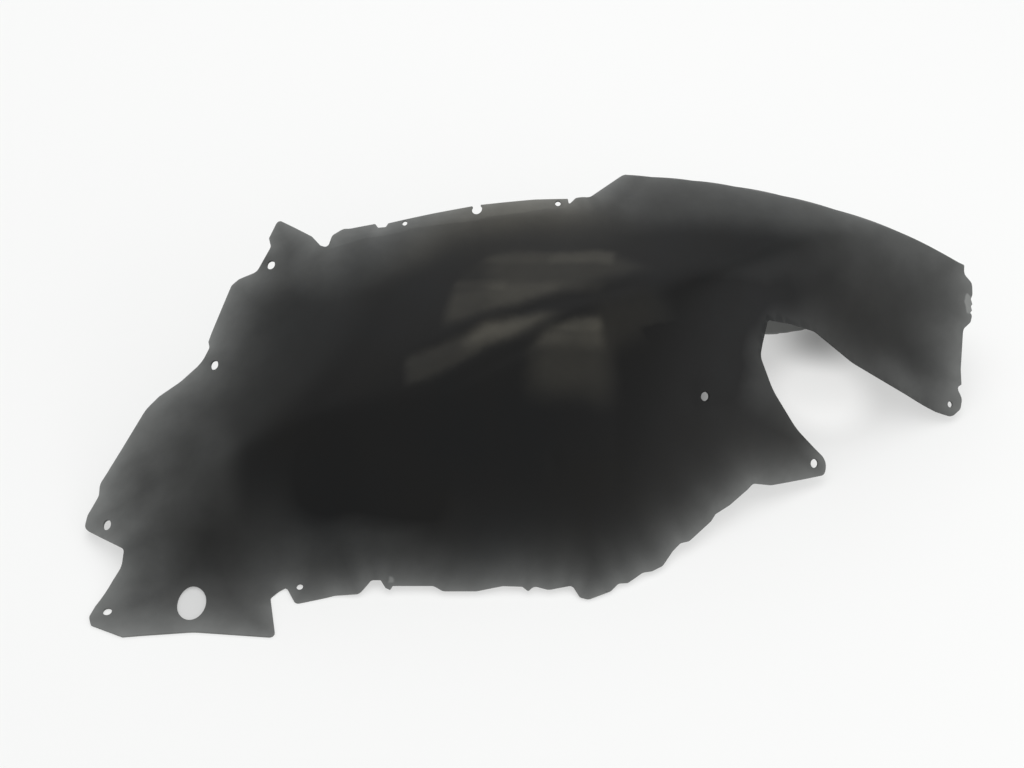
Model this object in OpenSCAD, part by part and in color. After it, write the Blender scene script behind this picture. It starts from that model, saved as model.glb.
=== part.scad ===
// Wheel arch trim: one moulded sheet, lying with its hollow side down.

/* [Reach from the middle] */
// To the end of the arm, on the right
arm_reach = 402; // [396:1:406]
// To the left tip
tip_reach = 401; // [396:1:406]
// To the front edge of the lower panel
panel_reach = 204; // [200:1:208]
// To the fold along the foot of the front wall
foot_reach = 156; // [152:1:158]
// To the back edge of the strip
back_reach = 140; // [138:0.5:142]
// To the foot of the far wall, before it leans in
wall_reach = 210; // [208:0.5:214]

/* [Sheet] */
// Thickness of the sheet
sheet_t = 2; // [1.8:0.1:2.4]
// Slope of the gentle top, rise per length
roof_slope = 0.18; // [0.15:0.01:0.21]
// Radius of the arch to the right of its crown
arch_r = 535; // [520:5:550]
// Radius of the arch to the left of its crown
arch_l = 1500; // [1300:50:1800]
// Height of the crown above the floor
crown_z = 184.8; // [183:0.2:186]
// Slope of the wall behind the arm
wall_slope = 7; // [6:0.1:8]
// How far that wall's foot leans in, left of the arm
wall_lean = 28; // [20:0.5:30]
// Width of the flange along the wall's foot
flange_w = 3.5; // [3:0.1:4.5]
// Slope of the right side down to the arm
side_slope = 1.28; // [1.24:0.01:1.32]
// Turn of the right side in plan, degrees
side_turn = 31; // [30:0.1:32]
// Slope of the pressed band between the two creases
band_slope = 0.55; // [0.45:0.01:0.65]

/* [Screw holes] */
// Radius of the five round screw holes
screw_r = 4; // [3.7:0.05:4.2]
// Radius of the holes in the arm's tip and the foot tab
tip_hole_r = 3; // [2.7:0.05:3.3]
// Radius of the hole in the round pad
pad_hole_r = 4; // [3.7:0.05:4.2]
// Radius of the small holes along the back strip
strip_hole_r = 2.75; // [2.5:0.05:3]
// Radius of the hole that breaks through the back edge
notch_r = 4; // [3.8:0.05:4.2]
// Radius of the raised pad
pad_r = 11; // [9:0.5:13]
// Height of the raised pad
pad_h = 0.8; // [0.5:0.1:1.2]

/* [Oval hole] */
// Width of the oval hole
oval_w = 24; // [22:0.5:26]
// Length of the oval hole
oval_l = 34; // [32:0.5:36]
// Turn of the oval hole, degrees
oval_turn = 6; // [0:1:12]

/* [Back strip] */
// Depth of the step down to the back strip
strip_step = 2; // [1:0.1:2.4]
// Width of the back strip
strip_w = 13; // [11:0.5:14]

/* [Hidden] */
e = 0.01;
h = 0.4;
crown_x = 114.5;
crown_y = 128;
band_x = -108;
band_z = 143;
band_turn = 13.6;
tab_deep = 14;
foot_blend = 36;
dimple_r = 30;
dimple_deep = 0.7;
cut_h = 24;

function smin(a, b, r) = let(k = max(r - abs(a - b), 0) / r) min(a, b) - k * k * k * r / 6;
function smax(a, b, r) = -smin(-a, -b, r);
function ramp(a, b, v) = let(t = min(max((v - a) / (b - a), 0), 1)) t * t * (3 - 2 * t);

// The sheets that make the form, each a height over the floor
function arch(x) = let(d = x - crown_x, r = d > 0 ? arch_r : arch_l) r - sqrt(r * r - d * d);
function roof(x, y) = crown_z - arch(x) + roof_slope * (y - crown_y);
function wall_y(x) = wall_reach - 0.12 * x;
function wall(x, y) = wall_slope * (wall_y(x) - y);
function band(x, y) = band_z + 0.132 * (x - band_x)
    + band_slope * cos(band_turn) * (y + 7 - tan(band_turn) * (x - band_x));
function foot_tab(x, y) = tab_deep * ramp(-232, -220, x) * ramp(-170, -200, x) * ramp(-128, -148, y);
function front(x, y) = max(0.9, min(0.975 - 0.0013 * x, 1.3)) * (y + foot_reach - foot_tab(x, y));
function side(x, y) = side_slope * (-(x - 54.5) * sin(side_turn) + (y + foot_reach + 2) * cos(side_turn));
function wing(x, y) = 4 + 0.55 * (x + tip_reach - 0.5) + 0.25 * (y + 92);

// Line of the step to the strip along the back edge
function strip_y(x) = min(back_reach - 7.5 + 0.04 * (x + 182) - strip_w, wall_y(x) - 70);
function strip_on(x) = ramp(-186, -176, x) * ramp(34, 22, x);
function step(x, y) = strip_step * strip_on(x) * ramp(0, 4, y - strip_y(x));

function top(x, y) =
    let(a = smin(roof(x, y), band(x, y), 10),
        b = smin(a, wall(x, y), 100),
        w = smin(front(x, y), side(x, y), 60),
        c = smin(smin(b, w, 12), wing(x, y), 40))
    smax(c - step(x, y), sheet_t, foot_blend);

// The wall leans in under the ridge, and its flange runs back out to the far edge
lean_run = 26;
flange_run = 5;
function lean(x, y) =
    let(t = max(min((y - wall_y(x)) / lean_run + 1, 1), 0), out = (wall_y(x) + flange_run + 1 - y) / flange_run)
    wall_lean * ramp(325, 205, x) * 1.15 * t * t / (t + 0.15) * max(min(out, 1), 0);
function spot(x, y) = [x, y - lean(x, y), top(x, y)];
function normal(x, y) =
    let(n = cross(spot(x + h, y) - spot(x - h, y), spot(x, y + h) - spot(x, y - h))) n / norm(n);

// Near line of the grid, a little outside the outline
near = [[-600, -panel_reach - 10], [-219, -panel_reach - 10], [-200, -foot_reach - 22], [20, -foot_reach - 20],
        [60, -foot_reach - 16], [100, -148], [150, -102], [200, -72], [255, -44], [285, 22], [600, 22]];
function near_y(x) = lookup(x, near);
function start_y(x) = max(near_y(x) + 4, -foot_reach - 12);

cols = 52;
spacing = (tip_reach + arm_reach + 13) / (cols - 1);
stations = [for (i = [0:cols - 1]) -tip_reach - 9 + spacing * i];
backs = [60, 52, 45, 39, 34, 30, 26, 22, 17, 11, 5, 2, 0.6, -1, -3, -6];
panel_rows = 3;
main_rows = 29;
strip_rows = [-3, 0, 4, 9];
before_strip = panel_rows + main_rows;
before_wall = before_strip + len(strip_rows);
rows = before_wall + len(backs);
function row(x, j) =
    j < panel_rows ? near_y(x) + (start_y(x) - near_y(x)) * j / panel_rows
    : j < before_strip ? start_y(x) + (strip_y(x) + strip_rows[0] - start_y(x)) * (j - panel_rows) / main_rows
    : j < before_wall ? strip_y(x) + strip_rows[j - before_strip]
    : wall_y(x) - backs[j - before_wall];

module skin() {
    up = [for (x = stations, j = [0:rows - 1]) spot(x, row(x, j))];
    low = [for (x = stations, j = [0:rows - 1]) let(y = row(x, j)) spot(x, y) - sheet_t * normal(x, y)];
    n = rows * cols;
    quads = [for (i = [0:cols - 2], j = [0:rows - 2]) let(k = i * rows + j) [k, k + rows, k + rows + 1, k + 1]];
    a = [for (i = [0:cols - 2]) i * rows];
    faces = concat(
        [for (q = quads) [q[0], q[2], q[1]]], [for (q = quads) [q[0], q[3], q[2]]],
        [for (q = quads) [q[0] + n, q[1] + n, q[2] + n]], [for (q = quads) [q[0] + n, q[2] + n, q[3] + n]],
        [for (i = [0:cols - 2]) [i * rows, (i + 1) * rows, (i + 1) * rows + n]],
        [for (i = [0:cols - 2]) [i * rows, (i + 1) * rows + n, i * rows + n]],
        [for (i = [0:cols - 2]) [(i + 1) * rows - 1, (i + 2) * rows - 1 + n, (i + 2) * rows - 1]],
        [for (i = [0:cols - 2]) [(i + 1) * rows - 1, (i + 1) * rows - 1 + n, (i + 2) * rows - 1 + n]],
        [for (j = [0:rows - 2]) [j, j + 1 + n, j + 1]], [for (j = [0:rows - 2]) [j, j + n, j + 1 + n]],
        [for (j = [0:rows - 2]) let(b = (cols - 1) * rows + j) [b, b + 1, b + 1 + n]],
        [for (j = [0:rows - 2]) let(b = (cols - 1) * rows + j) [b, b + 1 + n, b + n]]);
    polyhedron(concat(up, low), faces);
}

// Corners of the outline in plan as [x, y, corner radius], in stretches, anticlockwise
function moved(p, x, y) = [for (c = p) [c[0] + x, c[1] + y, c[2]]];
function far_y(x) = wall_y(x) + flange_w;
panel_edge = [[-231.5, -foot_reach - 8.7, 3],
              each moved([[1.4, 0, 4], [-66, 5.5, 60], [-112, 2.5, 20], [-129, 4.5, 4], [-152, 16, 5],
                          [-151, 30, 6]], -224, -panel_reach),
              [-364, -151.5, 20], [-357.5, -141, 12], [-357, -127.7, 5]];
left_edge = [each moved([[0, -15, 9], [1, -2, 9], [9.5, 15, 8], [8.4, 27, 10]], -tip_reach, -82),
             [-357, 4, 20], [-345, 12, 12], [-325, 18, 30], [-306, 29, 20], [-300, 42, 5], [-302, 49, 3],
             [-300, 57, 4], [-286, 102, 4], [-279, 106, 5], [-262, 107, 6], [-251, 131, 5], [-254, 142, 3],
             [-247, 161, 3]];
back_edge = moved([[-212, -10, 4], [-203, -23, 5], [-196, -27, 3], [-193, -14, 4], [-182, -8, 6],
                   [-154, -7, 1], [-151, -12, 1], [-144, -12.5, 1], [-142, -8.5, 1], [-100, -3.5, 60],
                   [-60, 0.8, 40], [-10, 2, 60], [18, 1, 1], [20, -7, 1], [27, 0.5, 2], [39, -1, 6]],
                  0, back_reach);
far_edge = [[62, wall_y(62) - 44.5, 8], [74, wall_y(74) - 33, 10], [90, far_y(90), 6], [240, far_y(240), 0],
            [arm_reach - 6, far_y(arm_reach - 6), 4]];
arm_end = [each moved([[-7, -16, 4], [-10.5, -31, 3], [-1, -34, 3], [0, -41, 4], [-9, -47.5, 2],
                       [-9, -50.5, 1.5], [0, -53, 4], [-2, -59, 4], [-10, -66, 6]],
                      arm_reach, far_y(arm_reach - 6)),
           each moved([[-12, 74, 6], [-11, 64.5, 1.5], [-16, 61, 2], [-10.5, 55, 5], [-13, 46, 7],
                       [-22, 38, 7], [-38, 38, 12], [-68, 40, 60]], arm_reach, 0)];
arm_edge = [[277, 42, 60], [238, 48, 20], [214, 42, 12], [191, 37, 3]];
body_edge = [[188, 25, 6], [186, 17, 6], [198, 1, 30], [221, -15, 40], [251, -25.5, 8], [249, -36.5, 7],
             [197, -56.5, 20], [180, -60, 8], [175, -65, 6], [158, -79.5, 20], [145, -88.5, 5], [141, -94, 5],
             [121, -112, 6], [113, -115, 6], [106, -122, 6], [97, -134.5, 6], [88, -139.5, 6], [80, -141.5, 6],
             [67, -151, 6], [59, -152, 5], [52, -159, 6]];
foot_edge = moved([[33, -11, 6], [26, -9, 3], [20, 0.5, 4], [0, -3.5, 12], [-12, -0.5, 6], [-17, -4.5, 1.5],
                   [-22, -1, 2], [-38, -0.5, 12], [-60, -4.5, 16], [-88, -4.5, 8], [-96, -0.5, 6],
                   [-130, -0.5, 1], [-132, -3.5, 1], [-136, -2, 1], [-140, 3.5, 1.5], [-148, 3.5, 5],
                   [-158, -6.5, 6], [-178, -6.5, 12], [-210, -14.5, 4], [-218, -0.5, 1], [-220, 1, 1],
                   [-225.5, -2.5, 3]], 0, -foot_reach);
outline = [each panel_edge, each left_edge, each back_edge, each far_edge, each arm_end, each arm_edge,
           each body_edge, each foot_edge];

// A corner turned into a short arc of its radius
function corner(p, q, s) =
    let(u = [p[0] - q[0], p[1] - q[1]], v = [s[0] - q[0], s[1] - q[1]], lu = norm(u), lv = norm(v),
        a = acos(max(-1, min(1, u * v / lu / lv))) / 2,
        d = min(q[2] / tan(a), lu * 0.48, lv * 0.48), r = d * tan(a),
        m = u / lu + v / lv, c = [q[0], q[1]] + m / max(norm(m), e) * r / sin(a),
        n = max(1, min(6, round((90 - a) * max(r, 1) / 40))),
        b0 = atan2(q[1] + d * u[1] / lu - c[1], q[0] + d * u[0] / lu - c[0]),
        b1 = atan2(q[1] + d * v[1] / lv - c[1], q[0] + d * v[0] / lv - c[0]),
        w = ((b1 - b0 + 540) % 360) - 180)
    q[2] <= 0 || a > 88 ? [[q[0], q[1]]] : [for (k = [0:n]) c + r * [cos(b0 + w * k / n), sin(b0 + w * k / n)]];
function rounded(p) = let(n = len(p)) [for (i = [0:n - 1]) each corner(p[(i + n - 1) % n], p[i], p[(i + 1) % n])];

module trim() {
    translate([0, 0, -5]) linear_extrude(260) polygon(rounded(outline));
}

// Places something with its z along the outward normal of the sheet
module on_sheet(p) {
    n = normal(p[0], p[1]);
    translate([p[0], p[1], top(p[0], p[1])]) rotate([0, acos(n[2]), atan2(n[1], n[0])]) children();
}
module bore(p, r) {
    on_sheet(p) cylinder(h = cut_h, r = r, center = true, $fn = 48);
}

screw_at = [[239, -31], [23 - tip_reach, -99], [-364, 25 - panel_reach], [-249, 110], [-293, 21.5]];
tip_at = [[arm_reach - 23.5, 48], [-208, 1.5 - foot_reach]];
strip_at = [[10.5, back_reach - 4], [-127, back_reach - 10.7]];
notch_at = [-62, back_reach - 3];
pad_at = [135, -22];
dimple_at = [[-188, -68], [4, -79]];
oval_at = [-296, 33.5 - panel_reach];

module liner() {
    color("#1c1d1f") difference() {
        union() {
            intersection() {
                skin();
                trim();
            }
            on_sheet(pad_at) translate([0, 0, -sheet_t]) cylinder(h = sheet_t + pad_h, r = pad_r, $fn = 48);
        }
        for (p = screw_at) bore(p, screw_r);
        for (p = tip_at) bore(p, tip_hole_r);
        for (p = strip_at) bore(p, strip_hole_r);
        bore(notch_at, notch_r);
        bore(pad_at, pad_hole_r);
        for (p = dimple_at) on_sheet(p) translate([0, 0, dimple_r - dimple_deep]) sphere(r = dimple_r, $fn = 96);
        translate([oval_at[0], oval_at[1], 0]) rotate([0, 0, oval_turn]) linear_extrude(cut_h, center = true)
            resize([oval_w, oval_l]) circle(d = oval_l, $fn = 80);
    }
}

liner();
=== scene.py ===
import math

import bpy
import numpy as np
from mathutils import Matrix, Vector, geometry


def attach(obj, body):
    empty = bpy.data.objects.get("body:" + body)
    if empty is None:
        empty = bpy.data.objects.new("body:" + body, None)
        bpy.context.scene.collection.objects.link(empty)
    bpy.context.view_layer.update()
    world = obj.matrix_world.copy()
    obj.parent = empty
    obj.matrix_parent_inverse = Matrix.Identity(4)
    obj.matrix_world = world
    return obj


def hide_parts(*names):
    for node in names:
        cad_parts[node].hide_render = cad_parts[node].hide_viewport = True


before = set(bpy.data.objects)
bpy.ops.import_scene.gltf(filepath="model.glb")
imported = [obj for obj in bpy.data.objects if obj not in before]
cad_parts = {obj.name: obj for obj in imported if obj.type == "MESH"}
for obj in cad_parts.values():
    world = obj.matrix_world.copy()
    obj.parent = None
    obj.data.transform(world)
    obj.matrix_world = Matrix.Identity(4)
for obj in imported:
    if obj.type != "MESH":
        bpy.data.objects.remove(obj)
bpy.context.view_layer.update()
mm = 0.001


def srgb(hexColour):  # sRGB hex to the linear colour that shaders take
    parts = [int(hexColour[i:i + 2], 16) / 255 for i in (1, 3, 5)]
    return tuple(c / 12.92 if c <= 0.04045 else ((c + 0.055) / 1.055) ** 2.4 for c in parts) + (1.0,)


def addNode(tree, kind, inputs=None, **settings):  # a node with its settings, numbers and links
    node = tree.nodes.new(kind)
    for name, value in settings.items():
        setattr(node, name, value)
    for key, value in (inputs or {}).items():
        if isinstance(value, bpy.types.NodeSocket):
            tree.links.new(value, node.inputs[key])
        else:
            node.inputs[key].default_value = value
    return node


# A chain of sums, each with its name, its operation, and its numbers or the names of earlier sums
def addSteps(tree, known, steps):
    kinds = {"SMOOTHSTEP": ("ShaderNodeMapRange", "interpolation_type"),
             "LINEAR": ("ShaderNodeMapRange", "interpolation_type"),
             "DISTANCE": ("ShaderNodeVectorMath", "operation"),
             "DOT_PRODUCT": ("ShaderNodeVectorMath", "operation")}
    for name, operation, *values in steps:
        kind, setting = kinds.get(operation, ("ShaderNodeMath", "operation"))
        node = addNode(tree, kind, {i: known.get(v, v) for i, v in enumerate(values)}, **{setting: operation})
        known[name] = next(socket for socket in node.outputs if socket.enabled)


# The trim's outline in plan: x, y and corner radius in mm, clockwise, in stretches
trimOutline = {
    "panelEdge": [(-231.5, -164.7, 3), (-222.6, -204, 4), (-290, -198.5, 60), (-332, -202, 20),
                  (-347, -203.5, 3), (-375, -192, 2), (-378, -184.5, 6), (-375, -174, 6),
                  (-364, -151.5, 20), (-357.5, -141, 12), (-357, -127.7, 5)],
    "leftEdge": [(-399.5, -97, 9), (-399, -84, 9), (-391.5, -67, 8), (-392.6, -55, 10), (-357, 4, 20),
                 (-345, 12, 12), (-325, 18, 30), (-306, 29, 20), (-300, 42, 5), (-302, 49, 3), (-300, 57, 4),
                 (-286, 102, 4), (-279, 106, 5), (-262, 107, 6), (-251, 131, 5), (-254, 142, 3),
                 (-247, 161, 3)],
    "backEdge": [(-212, 130, 4), (-203, 117, 5), (-196, 113, 3), (-193, 126, 4), (-182, 132, 6),
                 (-154, 133, 1), (-151, 128, 1), (-144, 127.5, 1), (-142, 131.5, 1), (-100, 136.5, 60),
                 (-60, 140.8, 40), (-10, 142, 60), (19.5, 140.6, 0.5), (20.3, 134, 0.8), (26.5, 140.5, 2),
                 (39, 139, 6), (62, 158, 8), (74, 168, 10)],
    "wallFoot": [(77, 201.1, 0), (90, 202.2, 6), (240, 184.7, 0), (396, 166, 4)],
    "armEnd": [(395, 150, 4), (391.5, 135, 3), (401, 132, 3), (401.7, 125, 4), (399.3, 120.5, 1.5),
               (401.7, 118.8, 0.4), (400.2, 117.2, 0.3), (401.7, 115.6, 0.3), (399.8, 113.5, 0.5),
               (401.5, 111.5, 2), (400, 107, 4), (392, 100, 6), (390, 74, 6), (391, 64.5, 1.5), (386, 61, 2),
               (391.5, 55, 5), (389, 46, 7), (380, 38, 7), (364, 38, 12), (334, 40, 60)],
    "armEdge": [(277, 42, 60), (239, 48.5, 14), (216, 45.5, 10), (193, 40.5, 3)],
    "bodyEdge": [(188, 25, 6), (186, 17, 6), (198, 1, 30), (221, -15, 40), (251, -25.5, 8), (249, -36.5, 7),
                 (197, -56.5, 20), (180, -60, 8), (175, -65, 6), (158, -79.5, 20), (145, -88.5, 5),
                 (141, -94, 5),
                 (121, -112, 6), (113, -115, 6), (106, -122, 6), (97, -134.5, 6), (88, -139.5, 6),
                 (80, -141.5, 6), (67, -151, 6), (59, -152, 5), (52, -159, 6)],
    "footEdge": [(33, -167, 6), (26, -165, 3), (20, -155.5, 4), (0, -159.5, 12), (-12, -156.5, 6),
                 (-17, -160.5, 1.5), (-22, -157, 2), (-38, -156.5, 12), (-60, -160.5, 16), (-88, -160.5, 8),
                 (-96, -156.5, 6), (-130, -156.5, 1), (-132, -159.5, 1), (-136, -158, 1), (-140, -152.5, 1.5),
                 (-148, -152.5, 5), (-158, -162.5, 6), (-178, -162.5, 12), (-210, -170.5, 4),
                 (-218, -156.5, 1),
                 (-220, -155, 1), (-225.5, -158.5, 3)],
}

sheetBlank = {
    "thickness": 2.0 * mm,
    "spacing": 4.2 * mm,  # between the points of the sheet
    "edgeSpacing": 2.6 * mm,
    "wallStretch": 7.1,      # length of the wall sheet for each length it takes in plan
    "rimBevel": 0.5 * mm,
    "bevelAngle": 50,        # degrees, past which an edge is a rim
    "grading": ((1.3, 22), (3.4, 16)),    # rings round each hole: gap in mm and number of points
    "ringPoints": {"screw": 28, "oval": 48, "notch": 32},
}

screwHoles = {  # plan place in mm and radius in mm
    "frontRight": (239, -31, 4.0), "leftTip": (-378, -99, 4.0), "panel": (-364, -179, 3.7),
    "backLeft": (-249, 110, 4.0), "left": (-293, 21.5, 4.0), "armTip": (378.5, 47.2, 2.7),
    "footTab": (-208, -154.5, 2.8), "stripRight": (10.5, 136, 2.6), "stripLeft": (-127, 129.3, 2.4),
    "pad": (135, -22, 4.0),
}
# Worn longer up the sheet by their clips
upwornHoles = ("leftTip", "backLeft", "left", "stripRight", "stripLeft", "armTip")
wornLength = 1.5    # for a width of 1, where the sheet lies flat, and less where it rises
openNotch = (-62, 136.3, 4.6, 6.0)    # the strip's hole that has broken out at the edge: place and half sizes
ovalHole = {"place": (-296, -170.5), "width": 24.0, "length": 34.0, "turn": 6.0}  # mm and degrees

formSizes = {  # the named inputs of the forming tree, metres and slopes
    "Crown height": 0.1847, "Crown place": 0.1145, "Crown depth": 0.128, "Roof slope": 0.18,
    "Right radius": 0.535, "Left radius": 1.5, "Foot line": -0.156, "Foot blend": 0.036,
    "Fold blend": 0.012, "Ridge blend": 0.100, "Corner blend": 0.060, "Wing blend": 0.040,
    "Band blend": 0.010, "Foot tab": 0.014, "Wall lean": 0.028, "Strip step": 0.002, "Wave height": 0.0009,
}
sideTurn, sideSlope = math.radians(31), 1.28
formPlanes = {  # height at the origin, rise along x, rise along y
    "wall": (1.470, -0.84, -7.0),
    "band": (0.14708, 0.00267, 0.53458),
    "wing": (0.2473, 0.55, 0.25),
    "side": (sideSlope * (0.0545 * math.sin(sideTurn) + 0.158 * math.cos(sideTurn)),
             -sideSlope * math.sin(sideTurn), sideSlope * math.cos(sideTurn)),
}
pressedDimples = [  # plan place, radius and depth in mm
    (-188, -68, 8, 0.7), (4, -79, 8, 0.7), (135, -22, 13, -0.8),
    (398.5, 119, 3.5, -1.4), (400.5, 115, 3, 1.2), (398, 160, 16, -3.2),
]
creaseGrooves = [  # from, to, half width and depth in mm
    ((-130, -25), (10, 30), 7, 1.0), ((-20, 20), (92, 45), 8, 0.9), ((-104, -49), (48, 22), 7, 0.9),
]


def corner(before, here, after):  # the short arc that rounds one corner of an outline
    p, q, s = (Vector(v[:2]) for v in (before, here, after))
    u, v = (p - q), (s - q)
    half = u.angle(v) / 2
    if here[2] <= 0 or half > math.radians(88):
        return [tuple(q)]
    reach = min(here[2] / math.tan(half), u.length * 0.48, v.length * 0.48)
    radius = reach * math.tan(half)
    centre = q + (u.normalized() + v.normalized()).normalized() * radius / math.sin(half)
    start, end = q + u.normalized() * reach - centre, q + v.normalized() * reach - centre
    turn = start.angle_signed(end) * -1
    steps = max(2, round(abs(turn) * max(radius, 1) / 1.5))
    begin = math.atan2(start.y, start.x)
    turns = [begin + turn * k / steps for k in range(steps + 1)]
    return [tuple(centre + radius * Vector((math.cos(t), math.sin(t)))) for t in turns]


def roundedLoop(corners):
    count = len(corners)
    return [p for i in range(count) for p in corner(corners[i - 1], corners[i], corners[(i + 1) % count])]


def crestLine(x):  # where the wall would meet the roof, in plan
    x = np.asarray(x)
    away = x - formSizes["Crown place"]
    radius = np.where(away > 0, formSizes["Right radius"], formSizes["Left radius"])
    height = formSizes["Crown height"] - radius + np.sqrt(radius ** 2 - away ** 2)
    base, alongX, alongY = formPlanes["wall"]
    return (height - base - alongX * x) / alongY


def toBlank(points):  # plan to the flat blank, where the wall keeps its true length
    points = np.array(points, float)
    crest = crestLine(points[:, 0])
    beyond = np.maximum(points[:, 1] - crest, 0)
    points[:, 1] += beyond * (sheetBlank["wallStretch"] - 1)
    return points


def toPlan(points):
    points = np.array(points, float)
    crest = crestLine(points[:, 0])
    beyond = np.maximum(points[:, 1] - crest, 0)
    points[:, 1] -= beyond * (1 - 1 / sheetBlank["wallStretch"])
    return points


def resample(loop, spacing):  # adds points along the long stretches of a closed loop
    result = []
    for a, b in zip(loop, np.roll(loop, -1, axis=0)):
        steps = max(1, math.ceil(np.linalg.norm(b - a) / spacing))
        result += [a + (b - a) * k / steps for k in range(steps)]
    return np.array(result)


def inside(points, loop):  # even and odd crossings of each point with a closed loop
    x, y = points[:, 0], points[:, 1]
    result = np.zeros(len(points), bool)
    for (ax, ay), (bx, by) in zip(loop, np.roll(loop, -1, axis=0)):
        if ay != by:
            crosses = ((ay > y) != (by > y)) & (x < (bx - ax) * (y - ay) / (by - ay) + ax)
            result ^= crosses
    return result


def nearest(points, others):  # distance from each point to the closest of the others
    result = np.full(len(points), np.inf)
    for start in range(0, len(others), 64):
        block = others[start:start + 64]
        gaps = np.linalg.norm(points[:, None, :] - block[None, :, :], axis=2)
        result = np.minimum(result, gaps.min(axis=1))
    return result


def plainMesh(name, points, faces):
    mesh = bpy.data.meshes.new(name)
    mesh.from_pydata([tuple(p) for p in points], [], faces)
    mesh.update()
    return mesh


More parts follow.
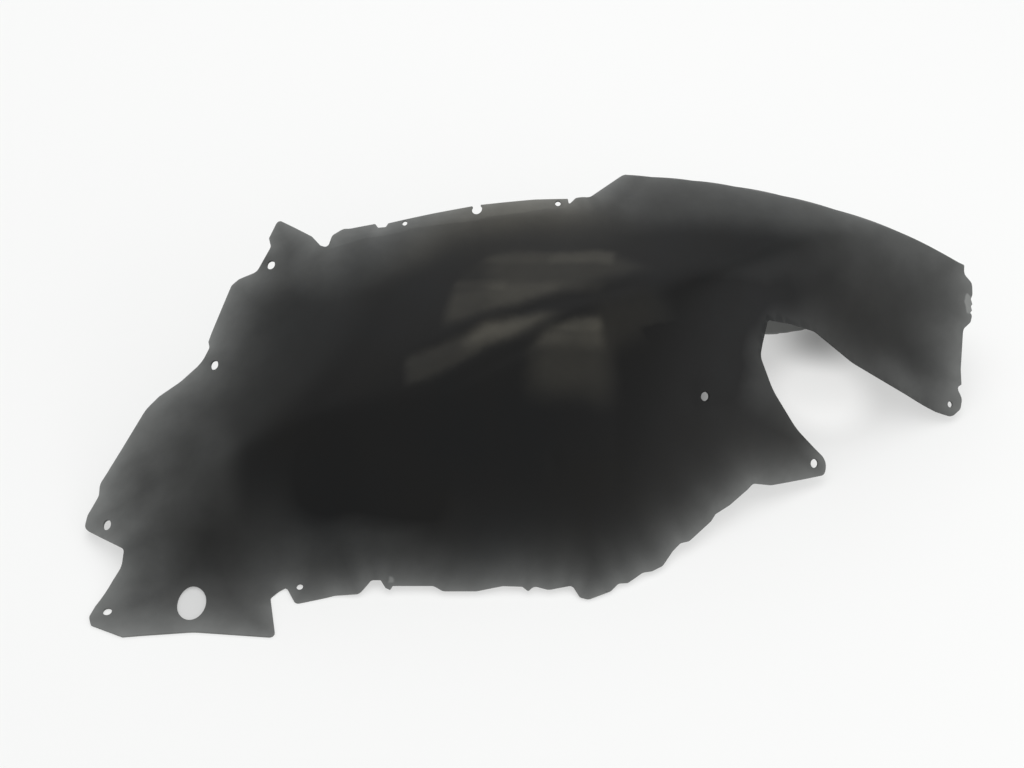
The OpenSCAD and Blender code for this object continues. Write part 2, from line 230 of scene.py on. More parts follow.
def formTree(material):  # lifts a flat plan of the sheet onto the formed shape
    tree = bpy.data.node_groups.new("formedSheet", "GeometryNodeTree")
    tree.is_modifier = True
    tree.interface.new_socket("Geometry", in_out="INPUT", socket_type="NodeSocketGeometry")
    for name, value in formSizes.items():
        socket = tree.interface.new_socket(name, in_out="INPUT", socket_type="NodeSocketFloat")
        socket.default_value = value
    tree.interface.new_socket("Geometry", in_out="OUTPUT", socket_type="NodeSocketGeometry")
    given = addNode(tree, "NodeGroupInput")
    place = addNode(tree, "GeometryNodeInputPosition").outputs[0]
    split = addNode(tree, "ShaderNodeSeparateXYZ", {0: place})
    waves = addNode(tree, "ShaderNodeTexNoise", {"Vector": place, "Scale": 9.0, "Detail": 1.0})
    known = {"x": split.outputs["X"], "y": split.outputs["Y"], "place": place, "waves": waves.outputs[0]}
    known.update({name: given.outputs[name] for name in formSizes})
    steps = [
        ("away", "SUBTRACT", "x", "Crown place"),
        ("onRight", "GREATER_THAN", "away", 0.0),
        ("extra", "SUBTRACT", "Right radius", "Left radius"),
        ("radius", "MULTIPLY_ADD", "onRight", "extra", "Left radius"),
        ("radiusSquared", "MULTIPLY", "radius", "radius"),
        ("awaySquared", "MULTIPLY", "away", "away"),
        ("chord", "SUBTRACT", "radiusSquared", "awaySquared"),
        ("root", "SQRT", "chord"),
        ("sag", "SUBTRACT", "radius", "root"),
        ("crown", "SUBTRACT", "Crown height", "sag"),
        ("depth", "SUBTRACT", "y", "Crown depth"),
        ("roof", "MULTIPLY_ADD", "depth", "Roof slope", "crown"),
    ]
    for name, (base, alongX, alongY) in formPlanes.items():
        steps += [(name + "X", "MULTIPLY_ADD", "x", alongX, base),
                  (name, "MULTIPLY_ADD", "y", alongY, name + "X")]
    steps += [
        ("tabLeft", "SMOOTHSTEP", "x", -0.345, -0.290, 0.0, 1.0),
        ("tabRight", "SMOOTHSTEP", "x", -0.200, -0.150, 1.0, 0.0),
        ("tabDepth", "SMOOTHSTEP", "y", -0.150, -0.040, 1.0, 0.0),
        ("tabAcross", "MULTIPLY", "tabLeft", "tabRight"),
        ("tabArea", "MULTIPLY", "tabAcross", "tabDepth"),
        ("tab", "MULTIPLY", "tabArea", "Foot tab"),
        ("steepness", "MULTIPLY_ADD", "x", -1.3, 0.975),
        ("notFlatter", "MAXIMUM", "steepness", 0.9),
        ("notSteeper", "MINIMUM", "notFlatter", 1.3),
        ("fromLine", "SUBTRACT", "y", "Foot line"),
        ("fromFoot", "SUBTRACT", "fromLine", "tab"),
        ("front", "MULTIPLY", "notSteeper", "fromFoot"),
        ("top", "SMOOTH_MIN", "roof", "band", "Band blend"),
        ("topAndWall", "SMOOTH_MIN", "top", "wall", "Ridge blend"),
        ("sides", "SMOOTH_MIN", "front", "side", "Corner blend"),
        ("body", "SMOOTH_MIN", "topAndWall", "sides", "Fold blend"),
        ("height0", "SMOOTH_MIN", "body", "wing", "Wing blend"),
        ("stripLine", "MULTIPLY_ADD", "x", 0.04, 0.12678),
        ("overStrip", "SUBTRACT", "y", "stripLine"),
        ("stripEdge", "SMOOTHSTEP", "overStrip", 0.0, 0.004, 0.0, 1.0),
        ("stripLeft", "SMOOTHSTEP", "x", -0.186, -0.176, 0.0, 1.0),
        ("stripRight", "SMOOTHSTEP", "x", 0.022, 0.034, 1.0, 0.0),
        ("stripLength", "MULTIPLY", "stripLeft", "stripRight"),
        ("stripArea", "MULTIPLY", "stripEdge", "stripLength"),
        ("strip", "MULTIPLY", "stripArea", "Strip step"),
        ("height1", "SUBTRACT", "height0", "strip"),
        ("stiffness", "SMOOTHSTEP", "height1", 0.004, 0.03, 0.0, 1.0),
        ("centred", "SUBTRACT", "waves", 0.5),
        ("swing", "MULTIPLY", "centred", "Wave height"),
        ("waving", "MULTIPLY", "swing", "stiffness"),
        ("height2", "SUBTRACT", "height1", "waving"),
    ]
    pressed = "height2"
    for k, (x, y, radius, depth) in enumerate(pressedDimples):
        steps += [
            (f"gap{k}", "DISTANCE", "place", (x * mm, y * mm, 0.0)),
            (f"dent{k}", "SMOOTHSTEP", f"gap{k}", radius * 0.45 * mm, radius * mm, depth * mm, 0.0),
            (f"dented{k}", "SUBTRACT", pressed, f"dent{k}"),
        ]
        pressed = f"dented{k}"
    for k, (start, end, halfWidth, depth) in enumerate(creaseGrooves):
        start, end = Vector(start) * mm, Vector(end) * mm
        way = (end - start).normalized()
        side = Vector((-way.y, way.x))
        begin, stop, fade = start.dot(way), end.dot(way), 0.03
        steps += [
            (f"along{k}", "DOT_PRODUCT", "place", (way.x, way.y, 0.0)),
            (f"across{k}", "DOT_PRODUCT", "place", (side.x, side.y, 0.0)),
            (f"offset{k}", "SUBTRACT", f"across{k}", start.dot(side)),
            (f"width{k}", "ABSOLUTE", f"offset{k}"),
            (f"groove{k}", "SMOOTHSTEP", f"width{k}", 0.0, halfWidth * mm, depth * mm, 0.0),
            (f"fadeIn{k}", "SMOOTHSTEP", f"along{k}", begin, begin + fade, 0.0, 1.0),
            (f"fadeOut{k}", "SMOOTHSTEP", f"along{k}", stop - fade, stop, 1.0, 0.0),
            (f"ends{k}", "MULTIPLY", f"fadeIn{k}", f"fadeOut{k}"),
            (f"cut{k}", "MULTIPLY", f"groove{k}", f"ends{k}"),
            (f"grooved{k}", "SUBTRACT", pressed, f"cut{k}"),
        ]
        pressed = f"grooved{k}"
    steps += [
        ("height", "SMOOTH_MAX", pressed, sheetBlank["thickness"], "Foot blend"),
        ("wallLine", "MULTIPLY_ADD", "x", -0.12, 0.210),
        ("past", "SUBTRACT", "y", "wallLine"),
        ("down", "LINEAR", "past", -0.026, 0.0, 0.0, 1.0),
        ("downSquared", "MULTIPLY", "down", "down"),
        ("downSoft", "ADD", "down", 0.15),
        ("bend", "DIVIDE", "downSquared", "downSoft"),
        ("leaning", "SMOOTHSTEP", "x", 0.205, 0.325, 1.27, 0.0),
        ("flange", "LINEAR", "past", 0.001, 0.0030, 1.0, 0.0),
        ("leanArea", "MULTIPLY", "leaning", "flange"),
        ("leanShare", "MULTIPLY", "leanArea", "bend"),
        ("lean", "MULTIPLY", "leanShare", "Wall lean"),
        ("depthPlace", "SUBTRACT", "y", "lean"),
    ]
    addSteps(tree, known, steps)
    lifted = addNode(tree, "ShaderNodeCombineXYZ",
                     {0: known["x"], 1: known["depthPlace"], 2: known["height"]})
    moved = addNode(tree, "GeometryNodeSetPosition", {"Geometry": given.outputs["Geometry"],
                                                      "Position": lifted.outputs[0]})
    real = addNode(tree, "GeometryNodeRealizeInstances", {0: moved.outputs[0]})
    worn = addNode(tree, "GeometryNodeSetMaterial", {"Geometry": real.outputs[0], "Material": material})
    addNode(tree, "NodeGroupOutput", {0: worn.outputs[0]})
    return tree


def formed(mesh, tree):  # the plain mesh that the forming tree makes of a flat one
    piece = bpy.data.objects.new(mesh.name + "Flat", mesh)
    bpy.context.collection.objects.link(piece)
    modifier = piece.modifiers.new("Form", "NODES")
    modifier.node_group = tree
    for socket in tree.interface.items_tree:
        if socket.in_out == "INPUT" and socket.name in formSizes:
            modifier[socket.identifier] = formSizes[socket.name]
    graph = bpy.context.evaluated_depsgraph_get()
    result = bpy.data.meshes.new_from_object(piece.evaluated_get(graph), depsgraph=graph)
    piece.modifiers.remove(modifier)
    bpy.data.objects.remove(piece)
    return result


def sheetNormals(tree, places):  # the formed sheet's place and normal over points of the plan
    step = 0.4 * mm
    probes = [(x + dx, y + dy, 0) for x, y in places for dx, dy in ((0, 0), (step, 0), (0, step))]
    heights = [v.co.z for v in formed(plainMesh("probe", probes, []), tree).vertices]
    found = []
    for i, (x, y) in enumerate(places):
        middle, right, back = heights[3 * i:3 * i + 3]
        normal = Vector((-(right - middle) / step, -(back - middle) / step, 1)).normalized()
        found.append((Vector((x, y, middle)), normal))
    return found


def holeRing(centre, normal, radius, count, worn):  # a circle on the sheet, seen in plan, or one worn upright
    turns = [2 * math.pi * k / count for k in range(count)]
    if worn:
        alongX, alongY = -normal.x / normal.z, -normal.y / normal.z
        across = [math.cos(t) for t in turns]
        along = [(wornLength * math.sin(t) - alongX * math.cos(t)) / (1 + alongY) for t in turns]
        return np.array([[centre.x + radius * a, centre.y + radius * b] for a, b in zip(across, along)])
    uphill = Vector((-normal.x, -normal.y, 0))
    uphill = uphill.normalized() if uphill.length > 1e-4 else Vector((0, 1, 0))
    across = Vector((uphill.y, -uphill.x, 0))
    ways = [math.cos(t) * across + math.sin(t) * normal.z * uphill for t in turns]
    return np.array([[centre.x + radius * way.x, centre.y + radius * way.y] for way in ways])


def ovalRing(count):  # the big hole in the lower panel
    (x, y), turn = ovalHole["place"], math.radians(ovalHole["turn"])
    turns = [2 * math.pi * k / count for k in range(count)]
    across = [ovalHole["width"] / 2 * math.cos(t) for t in turns]
    along = [ovalHole["length"] / 2 * math.sin(t) for t in turns]
    c, s = math.cos(turn), math.sin(turn)
    return np.array([(x + a * c - b * s, y + a * s + b * c) for a, b in zip(across, along)]) * mm


def flatBlank(tree):  # the sheet in plan, with its outline and holes, as even triangles
    corners = [tuple(c) for stretch in trimOutline.values() for c in stretch]
    edge = np.array(roundedLoop(corners)) * mm
    bites = sheetNormals(tree, [(x * mm, y * mm) for x, y, _ in screwHoles.values()])
    cuts = [(place, normal, radius, name in upwornHoles)
            for (place, normal), (name, (_, _, radius)) in zip(bites, screwHoles.items())]
    ringPoints = sheetBlank["ringPoints"]
    holes = [holeRing(place, normal, radius * mm, ringPoints["screw"], worn)
             for place, normal, radius, worn in cuts]
    grading = [holeRing(place, normal, (radius + gap) * mm, count, worn)
               for place, normal, radius, worn in cuts for gap, count in sheetBlank["grading"]]
    holes.append(ovalRing(ringPoints["oval"]))
    edge = resample(toBlank(edge), sheetBlank["edgeSpacing"])
    x, y, halfWidth, halfLength = openNotch
    turns = [2 * math.pi * k / ringPoints["notch"] for k in range(ringPoints["notch"])]
    bite = toBlank([((x + halfWidth * math.cos(t)) * mm, (y + halfLength * math.sin(t)) * mm)
                    for t in turns])
    edge = edge[~inside(edge, bite)]
    rim = bite[inside(bite, edge)]
    cut = int(np.argmin(np.linalg.norm(edge - bite.mean(axis=0), axis=1)))
    edge = np.roll(edge, -cut, axis=0)
    gaps = np.linalg.norm(edge - np.roll(edge, -1, axis=0), axis=1)
    edge = np.roll(edge, -(int(np.argmax(gaps)) + 1), axis=0)
    order = np.argsort(np.arctan2(rim[:, 0] - bite[:, 0].mean(), bite[:, 1].mean() - rim[:, 1]))
    rim = rim[order]
    if np.linalg.norm(rim[0] - edge[-1]) > np.linalg.norm(rim[-1] - edge[-1]):
        rim = rim[::-1]
    edge = np.vstack([edge, rim])
    holes = [toBlank(h) for h in holes]
    space = sheetBlank["spacing"]
    low, high = edge.min(axis=0), edge.max(axis=0)
    columns, rows = np.arange(low[0], high[0], space), np.arange(low[1], high[1], space)
    grid = np.stack(np.meshgrid(columns, rows), -1).reshape(-1, 2)
    grid[:, 0] += (np.round((grid[:, 1] - low[1]) / space) % 2) * space * 0.5
    loops = [edge] + holes
    grid = grid[inside(grid, edge)]
    for h in holes:
        grid = grid[~inside(grid, h)]
    rings = [toBlank(g) for g in grading]
    rings = [r[inside(r, edge)] for r in rings]
    taken = np.vstack(loops + rings)
    grid = grid[nearest(grid, taken) > space * 0.55]
    points = np.vstack(loops + rings + [grid])
    edges, start = [], 0
    for loop in loops:
        edges += [(start + k, start + (k + 1) % len(loop)) for k in range(len(loop))]
        start += len(loop)
    made = geometry.delaunay_2d_cdt([Vector(p) for p in points], edges, [], 0, 1e-7)
    flat, faces = np.array([tuple(v) for v in made[0]]), np.array(made[2])
    middles = flat[faces].mean(axis=1)
    keep = inside(middles, edge)
    for h in holes:
        keep &= ~inside(middles, h)
    faces = faces[keep]
    plan = toPlan(flat)
    a, b, c = (plan[faces[:, k]] for k in range(3))
    area = (b[:, 0] - a[:, 0]) * (c[:, 1] - a[:, 1]) - (b[:, 1] - a[:, 1]) * (c[:, 0] - a[:, 0])
    faces[area < 0] = faces[area < 0][:, ::-1]
    print("blank:", len(flat), "points,", len(faces), "triangles")
    return plainMesh("blank", np.column_stack([plan, np.zeros(len(plan))]), faces.tolist()), toPlan(edge)


def storeRimGap(mesh, tree, edge):  # each point's distance from the outline or the crest, for the painted glare along the rim
    x = np.arange(*rimGlare["crestSpan"]) * mm
    crest = np.column_stack([x, crestLine(x) - rimGlare["crestIn"]])
    places = np.array([v.co[:] for v in mesh.vertices])
    left, right, front, back = (edgePlace * mm for edgePlace in rimGlare["cutOut"])
    inCut = (edge[:, 0] > left) & (edge[:, 0] < right) & (edge[:, 1] > front) & (edge[:, 1] < back)
    span = rimGlare["notchSpan"]
    general = np.mean([np.roll(edge, k, axis=0) for k in range(-span, span + 1)], axis=0)
    exposed = ~inside(edge, general) | (nearest(edge, general) < rimGlare["notchDepth"])
    exposed &= np.linalg.norm(edge - np.array(openNotch[:2]) * mm, axis=1) > rimGlare["notchClear"]
    glareDistance = np.full(len(places), np.inf)
    for name, path, extra in (("rimPath", edge[~inCut & exposed], 0),
                              ("cutOutPath", edge[inCut], rimGlare["cutOutExtra"]),
                              ("crestPath", crest, rimGlare["crestExtra"])):
        line = formed(plainMesh(name, np.column_stack([path, np.zeros(len(path))]), []), tree)
        glareDistance = np.minimum(glareDistance, nearest(places, np.array([v.co[:] for v in line.vertices])) + extra)
    layer = mesh.attributes.new("rimGap", "FLOAT", "POINT")
    layer.data.foreach_set("value", glareDistance)


# painted glare: how the plastic is made paler towards the outline and the crest
rimGlare = {
    "notchSpan": 14,          # points of the outline that are levelled out to each side
    "notchDepth": 3 * mm,     # what lies deeper than this in a notch gets no painted glare
    "notchClear": 9 * mm,     # nor is what lies this near to the strip's open notch
    "crestSpan": (62, 396, 4),        # left end, right end and spacing of the points of the crest with painted glare, in mm
    "crestIn": 6 * mm,        # from the corner of the wall to the crest with painted glare
    "crestExtra": 9 * mm,     # how much less painted glare the crest gets, as a distance
    "cutOut": (180, 386, -24, 60),    # left, right, front and back of the open cut-out, in mm
    "cutOutExtra": 27 * mm,   # how much less painted glare its edge gets, as a distance
    "amount": (0.84, 0.67),           # at the left end and elsewhere
    "reach": (0.036, 0.0165, 0.0255),   # at the left end, in the middle and at the arm's end
}
wallBounceLight = 0.9               # painted bounce light on the inner foot of the leaning wall
viewPoint = {
    "elevation": 45.0,      # degrees over the floor
    "distance": 1.250,
    "target": (-0.0305, 0.028, 0.060),
    "lens": 48.83,          # mm
    "sensor": 36.0,         # width in mm
}
picture = {
    "width": 1024, "height": 768,
    "firstHeight": 100 * mm,    # a first guess of the sheet's height under a pixel
    "rounds": 24,               # each about halves the guess's error
}
# Painted sheen, painted shade and a chipped edge as the picture shows them: corners in the picture in pixels,
# softness of the edge in mm, and paleness, which is below 0 where the plastic is painted darker
paintedLightAndWearInPicture = {
    # painted highlights: the next twelve marks are lighter patches and streaks on the roof
    "longRub": ([(406, 356), (464, 330), (492, 319), (557, 314), (508, 338), (421, 384),
                 (404, 385)], 11, 0.065),
    "longRubEnd": ([(463, 350), (475, 326), (500, 318), (554, 315), (545, 326), (505, 338)], 20, 0.16),
    "shortRub": ([(536, 345), (541, 333), (571, 317), (600, 316), (604, 326), (604, 348)], 13, 0.10),
    "shortRubTop": ([(555, 328), (571, 317), (600, 316), (604, 328), (595, 334), (560, 330)], 7, 0.07),
    "shortRubTail": ([(530, 392), (536, 335), (604, 336), (612, 395)], 28, 0.075),
    "roofRub": ([(445, 330), (541, 299), (645, 272), (614, 253), (487, 256), (452, 284)], 14, 0.015),
    "roofRubEnd": ([(489, 311), (600, 283), (648, 271), (614, 255), (490, 254)], 24, 0.055),
    "roofRubLow": ([(444, 329), (490, 313), (558, 296), (558, 285), (454, 291)], 14, 0.075),
    "backStreak": ([(484, 263), (612, 264), (616, 253), (490, 254)], 8, 0.035),
    "backStreakEnd": ([(548, 263), (612, 264), (616, 253), (550, 253)], 9, 0.05),
    "leftStreak": ([(453, 288), (505, 289), (508, 280), (457, 281)], 8, 0.045),
    "leftStreakEnd": ([(489, 289), (600, 292), (606, 284), (492, 280)], 9, 0.03),
    # painted shade: the next two marks make the plastic darker
    "pressedOval": ([(643, 330), (660, 323), (689, 324), (713, 330), (697, 347), (655, 343)], 9, -0.08),
    "reddishSide": ([(691, 294), (765, 300), (768, 380), (701, 391)], 28, -0.08),
    # painted sheen: the next three marks make the plastic lighter towards the left edges
    "wingDust": ([(195, 440), (215, 390), (270, 320), (330, 275), (370, 285), (330, 370), (260, 440),
                  (200, 490)],
                 50, 0.04),
    "wingLow": ([(147, 430), (190, 410), (237, 434), (234, 517), (150, 520)], 30, 0.09),
    "leftTip": ([(85, 502), (110, 470), (140, 480), (130, 515), (95, 527)], 20, 0.09),
    "panelShade": ([(117, 532), (150, 530), (149, 604), (105, 604)], 24, -0.10),
    # painted sheen, lighter along the foot
    "footDust": ([(282, 548), (301, 528), (400, 525), (420, 530), (408, 546)], 24, 0.06),
    "frontShade": ([(290, 484), (330, 436), (430, 436), (447, 536), (301, 530)], 30, -0.03),
    # painted sheen: the next two marks make the plastic lighter
    "midPatch": ([(596, 307), (660, 290), (672, 322), (640, 342), (603, 351)], 26, 0.04),
    "cutSide": ([(742, 330), (765, 330), (769, 403), (745, 404)], 24, 0.08),
    # painted shade, darker at the root of the arm
    "armRoot": ([(752, 286), (803, 290), (802, 319), (752, 313)], 32, -0.08),
    "footChip": ([(388, 581), (394, 581), (393, 575), (390, 574)], 2.4, 0.40),
}
# Other places with painted sheen, painted shade and a torn flake:
# corners in plan in mm, softness of the edge in mm, and paleness
paintedLightAndWearInPlan = {
    # painted sheen: the next six marks make the plastic lighter along the strip, the back and the crest
    "stripDust": ([(-196, 112), (-150, 115), (-60, 122), (18, 128), (20, 143), (-60, 144),
                   (-190, 135)], 4, 0.085),
    "backDust": ([(-190, 90), (0, 108), (70, 120), (70, 170), (-60, 150), (-200, 140)], 40, 0.04),
    "crestRub": ([(60, 85), (60, 215), (240, 200), (340, 180), (340, 140), (300, 110), (245, 110), (190, 72),
                  (130, 70)], 40, 0.14),
    "armMiddle": ([(270, 150), (380, 130), (380, 75), (300, 70), (255, 85)], 40, 0.06),
    "backLeft": ([(-262, 108), (-210, 125), (-110, 130), (-90, 95), (-150, 60), (-230, 70)], 40, 0.10),
    "crestTop": ([(90, 150), (90, 215), (200, 205), (190, 165)], 30, 0.08),
    "cornerShade": ([(35, 135), (62, 160), (72, 200), (90, 200), (85, 150), (60, 120)], 16, -0.08),
    # painted sheen: the next two marks make the plastic lighter along the fold and the arm's low edge
    "foldDust": ([(131, 52), (160, 73), (243, 112), (262, 104), (245, 82), (166, 55)], 16, 0.03),
    "armLow": ([(300, 48), (304, 58), (350, 62), (378, 60), (384, 38), (334, 36)], 26, 0.14),
    "tornFlake": ([(393, 117), (395.5, 123), (403, 121.5), (403, 112), (395.5, 112)], 2.4, 0.72),
}


def placesUnder(pixels, tree):  # the places on the sheet, in plan in mm, that the camera sees at these pixels
    lift = math.radians(viewPoint["elevation"])
    focal = viewPoint["lens"] / viewPoint["sensor"] * picture["width"]
    back, up = Vector((0, -math.cos(lift), math.sin(lift))), Vector((0, math.sin(lift), math.cos(lift)))
    eye = Vector(viewPoint["target"]) + viewPoint["distance"] * back
    middle = (picture["width"] / 2, picture["height"] / 2)
    rays = [Vector(((x - middle[0]) / focal, 0, 0)) + (middle[1] - y) / focal * up - back for x, y in pixels]
    heights = [picture["firstHeight"]] * len(rays)
    for _ in range(picture["rounds"]):
        places = [eye + ray * (height - eye.z) / ray.z for ray, height in zip(rays, heights)]
        found = formed(plainMesh("probe", [(p.x, p.y, 0) for p in places], []), tree).vertices
        heights = [(height + vertex.co.z) / 2 for height, vertex in zip(heights, found)]
    return [(p.x / mm, p.y / mm) for p in places]


def paintedLightAndWearPlaces(tree):  # all marks with their corners in plan
    pixels = [corner for corners, _, _ in paintedLightAndWearInPicture.values() for corner in corners]
    places = iter(placesUnder(pixels, tree))
    marks = {name: ([next(places) for _ in corners], softness, amount)
             for name, (corners, softness, amount) in paintedLightAndWearInPicture.items()}
    print("marks placed:", len(pixels), "corners from the picture")
    return {**marks, **paintedLightAndWearInPlan}


def mouldPolypropylene(material, marks):  # black, slightly glossy, with a fine grain; paler with painted glare and painted sheen, darker with painted shade, and pale at a chip and a torn flake
    material.use_nodes = True
    tree = material.node_tree
    tree.nodes.clear()
    coordinates = addNode(tree, "ShaderNodeTexCoord").outputs
    place = coordinates["Object"]
    split = addNode(tree, "ShaderNodeSeparateXYZ", {0: place})
    facing = addNode(tree, "ShaderNodeSeparateXYZ", {0: coordinates["Normal"]})
    clouds = addNode(tree, "ShaderNodeTexNoise",
                     {"Vector": place, "Scale": 7.0, "Detail": 4.0, "Roughness": 0.55})
    smears = addNode(tree, "ShaderNodeTexNoise",
                     {"Vector": place, "Scale": 30.0, "Detail": 3.0, "Roughness": 0.6})
    rimGap = addNode(tree, "ShaderNodeAttribute", attribute_name="rimGap").outputs["Fac"]
    drift = addNode(tree, "ShaderNodeVectorMath",
                    {0: smears.outputs["Color"], 1: (0.010, 0.010, 0), 2: place}, operation="MULTIPLY_ADD")
    wobbled = addNode(tree, "ShaderNodeVectorMath",
                      {0: drift.outputs[0], 1: (0.005, 0.005, 0)}, operation="SUBTRACT")
    known = {"place": place, "x": split.outputs["X"], "y": split.outputs["Y"], "z": split.outputs["Z"],
             "rimGap": rimGap, "clouds": clouds.outputs[0], "facing": facing.outputs["Y"],
             "smears": smears.outputs[0], "wobbled": wobbled.outputs[0]}
    left, middle, right = rimGlare["reach"]
    # painted glare: the plastic gets paler nearer the outline and the crest
    steps = [
        ("reachLeft", "SMOOTHSTEP", "x", -0.36, -0.12, left, middle),
        ("reachRight", "SMOOTHSTEP", "x", 0.12, 0.36, 0.0, right - middle),
        ("reach", "ADD", "reachLeft", "reachRight"),
        ("gapShare", "DIVIDE", "rimGap", "reach"),
        ("gapDown", "MULTIPLY", "gapShare", -1.0),
        ("rim", "EXPONENT", "gapDown"),
        ("uneven", "LINEAR", "smears", 0.3, 0.7, 0.85, 1.1),
        ("share", "SMOOTHSTEP", "x", -0.36, -0.12, *rimGlare["amount"]),
        ("rimPale", "MULTIPLY", "rim", "share"),
        # painted bounce light: paler on the inner face of the leaning wall's foot
        ("wallLeft", "SMOOTHSTEP", "x", 0.15, 0.19, 0.0, wallBounceLight),
        ("wallRight", "SMOOTHSTEP", "x", 0.26, 0.31, 1.0, 0.0),
        ("wallBack", "SMOOTHSTEP", "y", 0.11, 0.13, 0.0, 1.0),
        ("wallLow", "SMOOTHSTEP", "z", 0.045, 0.065, 1.0, 0.0),
        ("wallSpan", "MULTIPLY", "wallLeft", "wallRight"),
        ("wallLowBack", "MULTIPLY", "wallBack", "wallLow"),
        ("wallInner", "LINEAR", "facing", -0.5, -0.1, 1.0, 0.0),
        ("wallDepth", "MULTIPLY", "wallLowBack", "wallInner"),
        ("pale", "MULTIPLY_ADD", "wallSpan", "wallDepth", "rimPale"),
    ]
    pale = "pale"
    for name, (corners, softness, amount) in marks.items():
        points = [Vector(c) for c in corners]
        middle = sum(points, Vector((0, 0))) / len(points)
        last = amount
        for k, (p, q) in enumerate(zip(points, points[1:] + points[:1])):
            inward = Vector((p.y - q.y, q.x - p.x)).normalized()
            inward *= 1 if inward.dot(middle - p) > 0 else -1
            line, half = inward.dot(p) * mm, softness * mm / 2
            steps += [
                (f"{name}Across{k}", "DOT_PRODUCT", "wobbled", (inward.x, inward.y, 0.0)),
                (f"{name}Edge{k}", "SMOOTHSTEP", f"{name}Across{k}", line - half, line + half, 0.0, 1.0),
                (f"{name}Area{k}", "MULTIPLY", f"{name}Edge{k}", last),
            ]
            last = f"{name}Area{k}"
        steps.append((f"{name}Pale", "ADD", pale, last))
        pale = f"{name}Pale"
    # the pale layer: painted glare, painted sheen and painted bounce light, less where shade is painted, and
    # the pale chip and flake
    steps += [("notBelow", "MAXIMUM", pale, 0.0), ("dust", "MULTIPLY", "notBelow", "uneven"),
              ("fromRubs", "DISTANCE", "place", (-0.02, 0.02, 0.14)),
              ("cool", "SMOOTHSTEP", "fromRubs", 0.08, 0.16, 0.0, 1.0)]
    addSteps(tree, known, steps)
    # the pale layer's colour, warmer in the painted sheen on the roof
    tone = addNode(tree, "ShaderNodeMix",
                   {"Factor": clouds.outputs[0], 6: srgb("#0e1012"), 7: srgb("#151310")}, data_type="RGBA")
    dust = addNode(tree, "ShaderNodeMix", {"Factor": known["cool"], 6: srgb("#807c70"), 7: srgb("#7a7b79")},
                   data_type="RGBA")
    toneAndPaleLayer = addNode(tree, "ShaderNodeMix", {"Factor": known["dust"], 6: tone.outputs[2], 7: dust.outputs[2]},
                    data_type="RGBA")
    rough = addNode(tree, "ShaderNodeMapRange", {0: clouds.outputs[0], 1: 0.3, 2: 0.7, 3: 0.40, 4: 0.55})
    grain = addNode(tree, "ShaderNodeTexNoise", {"Vector": place, "Scale": 900.0, "Detail": 2.0})
    bump = addNode(tree, "ShaderNodeBump", {"Strength": 0.12, "Distance": 0.0004, "Height": grain.outputs[0]})
    shader = addNode(tree, "ShaderNodeBsdfPrincipled", {
        "Base Color": toneAndPaleLayer.outputs[2], "Roughness": rough.outputs[0], "Normal": bump.outputs[0],
        "IOR": 1.49, "Specular IOR Level": 0.13,
    })
    addNode(tree, "ShaderNodeOutputMaterial", {"Surface": shader.outputs[0]})


def paleFloor():  # white paper, glowing a little as in an overexposed photo, less so far under the trim
    material = bpy.data.materials.new("whitePaperSheet")
    material.use_nodes = True
    tree = material.node_tree
    place = addNode(tree, "ShaderNodeTexCoord").outputs["Object"]
    known = {"place": place}
    addSteps(tree, known, [("fromMiddle", "DISTANCE", "place", (0.05, 0.08, 0.0)),
                           ("openGlow", "SMOOTHSTEP", "fromMiddle", 0.07, 0.165, 0.05, 0.55),
                           ("fromOval", "DISTANCE", "place", (-0.296, -0.168, 0.0)),
                           ("ovalShade", "SMOOTHSTEP", "fromOval", 0.02, 0.03, 0.55, 1.0),
                           ("openAndOval", "MULTIPLY", "openGlow", "ovalShade"),
                           ("fromCut", "DISTANCE", "place", (0.262, 0.075, 0.0)),
                           ("cutGlow", "SMOOTHSTEP", "fromCut", 0.025, 0.065, 0.17, 0.0),
                           ("open", "ADD", "openAndOval", "cutGlow"),
                           ("fromCorner", "DISTANCE", "place", (0.275, 0.155, 0.0)),
                           ("cornerShade", "SMOOTHSTEP", "fromCorner", 0.0, 0.060, 0.35, 1.0),
                           ("glow", "MULTIPLY", "open", "cornerShade")])
    shader = tree.nodes["Principled BSDF"]
    shader.inputs["Base Color"].default_value = srgb("#a1a1a0")
    shader.inputs["Roughness"].default_value = 0.8
    shader.inputs["Specular IOR Level"].default_value = 0.2
    shader.inputs["Emission Color"].default_value = srgb("#fdfdfc")
    tree.links.new(known["glow"], shader.inputs["Emission Strength"])
    return material


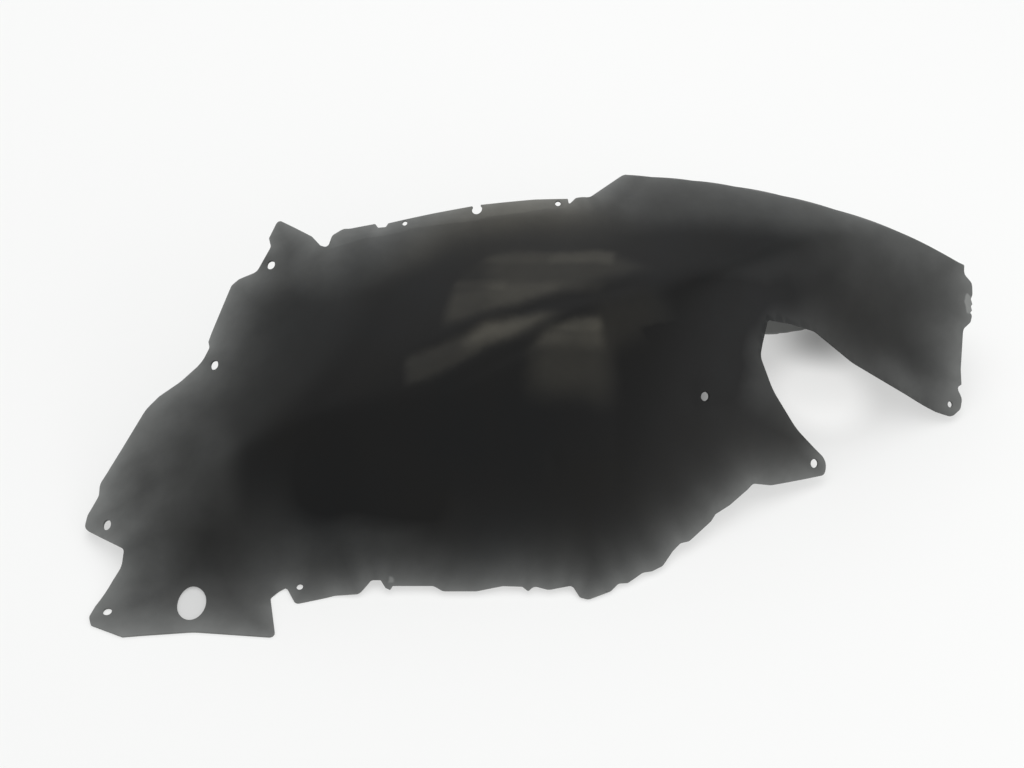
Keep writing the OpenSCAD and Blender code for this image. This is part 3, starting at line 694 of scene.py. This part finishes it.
blackPlastic = bpy.data.materials.new("mouldedPolypropylene")
tree = formTree(blackPlastic)
mouldPolypropylene(blackPlastic, paintedLightAndWearPlaces(tree))
blank, outline = flatBlank(tree)
sheet = bpy.data.objects.new("linerSheet", formed(blank, tree))
storeRimGap(sheet.data, tree, outline)
bpy.context.collection.objects.link(sheet)
sheet.data.polygons.foreach_set("use_smooth", [True] * len(sheet.data.polygons))
wall = sheet.modifiers.new("Thickness", "SOLIDIFY")
wall.thickness = sheetBlank["thickness"]
wall.offset = -1
rim = sheet.modifiers.new("Rim", "BEVEL")
rim.limit_method = "ANGLE"
rim.angle_limit = math.radians(sheetBlank["bevelAngle"])
rim.width = sheetBlank["rimBevel"]
rim.segments = 2
rim.face_strength_mode = "FSTR_ALL"
evenNormals = sheet.modifiers.new("EvenNormals", "WEIGHTED_NORMAL")
evenNormals.use_face_influence = True
print("sheet formed:", len(sheet.data.vertices), "points")
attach(sheet, "root")
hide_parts("liner")

floorMesh = plainMesh("floor", [(-4, -4, 0), (4, -4, 0), (4, 4, 0), (-4, 4, 0)], [(0, 1, 2, 3)])
floor = bpy.data.objects.new("paleFloor", floorMesh)
floorMesh.materials.append(paleFloor())
bpy.context.collection.objects.link(floor)

camera = bpy.data.objects.new("photoCamera", bpy.data.cameras.new("photoCamera"))
bpy.context.collection.objects.link(camera)
lift = math.radians(viewPoint["elevation"])
away = Vector((0, -math.cos(lift), math.sin(lift)))
camera.location = Vector(viewPoint["target"]) + viewPoint["distance"] * away
camera.rotation_euler = (math.radians(90) - lift, 0, 0)
camera.data.lens = viewPoint["lens"]
camera.data.sensor_width = viewPoint["sensor"]
bpy.context.scene.camera = camera

studioLights = {  # place, aim, size and power in watts
    "overhead": ((0.0, 0.5, 2.6), (0, 0, 0), 2.4, 22),
    "backWindow": ((-0.2, 2.6, 2.4), (0, 0, 0), 1.6, 16),
    "rightWindow": ((1.6, -1.0, 0.7), (0.25, 0.05, 0), 1.2, 11),
}
for name, (place, aim, size, power) in studioLights.items():
    light = bpy.data.objects.new(name, bpy.data.lights.new(name, "AREA"))
    light.data.shape = "SQUARE"
    light.data.size = size
    light.data.energy = power
    light.location = place
    light.rotation_euler = (Vector(place) - Vector(aim)).to_track_quat("Z", "Y").to_euler()
    bpy.context.collection.objects.link(light)
world = bpy.data.worlds.new("paleRoom")
bpy.context.scene.world = world
world.use_nodes = True
world.node_tree.nodes["Background"].inputs[0].default_value = srgb("#f4f6f8")
world.node_tree.nodes["Background"].inputs[1].default_value = 0.82
bpy.context.scene.view_settings.view_transform = "Standard"
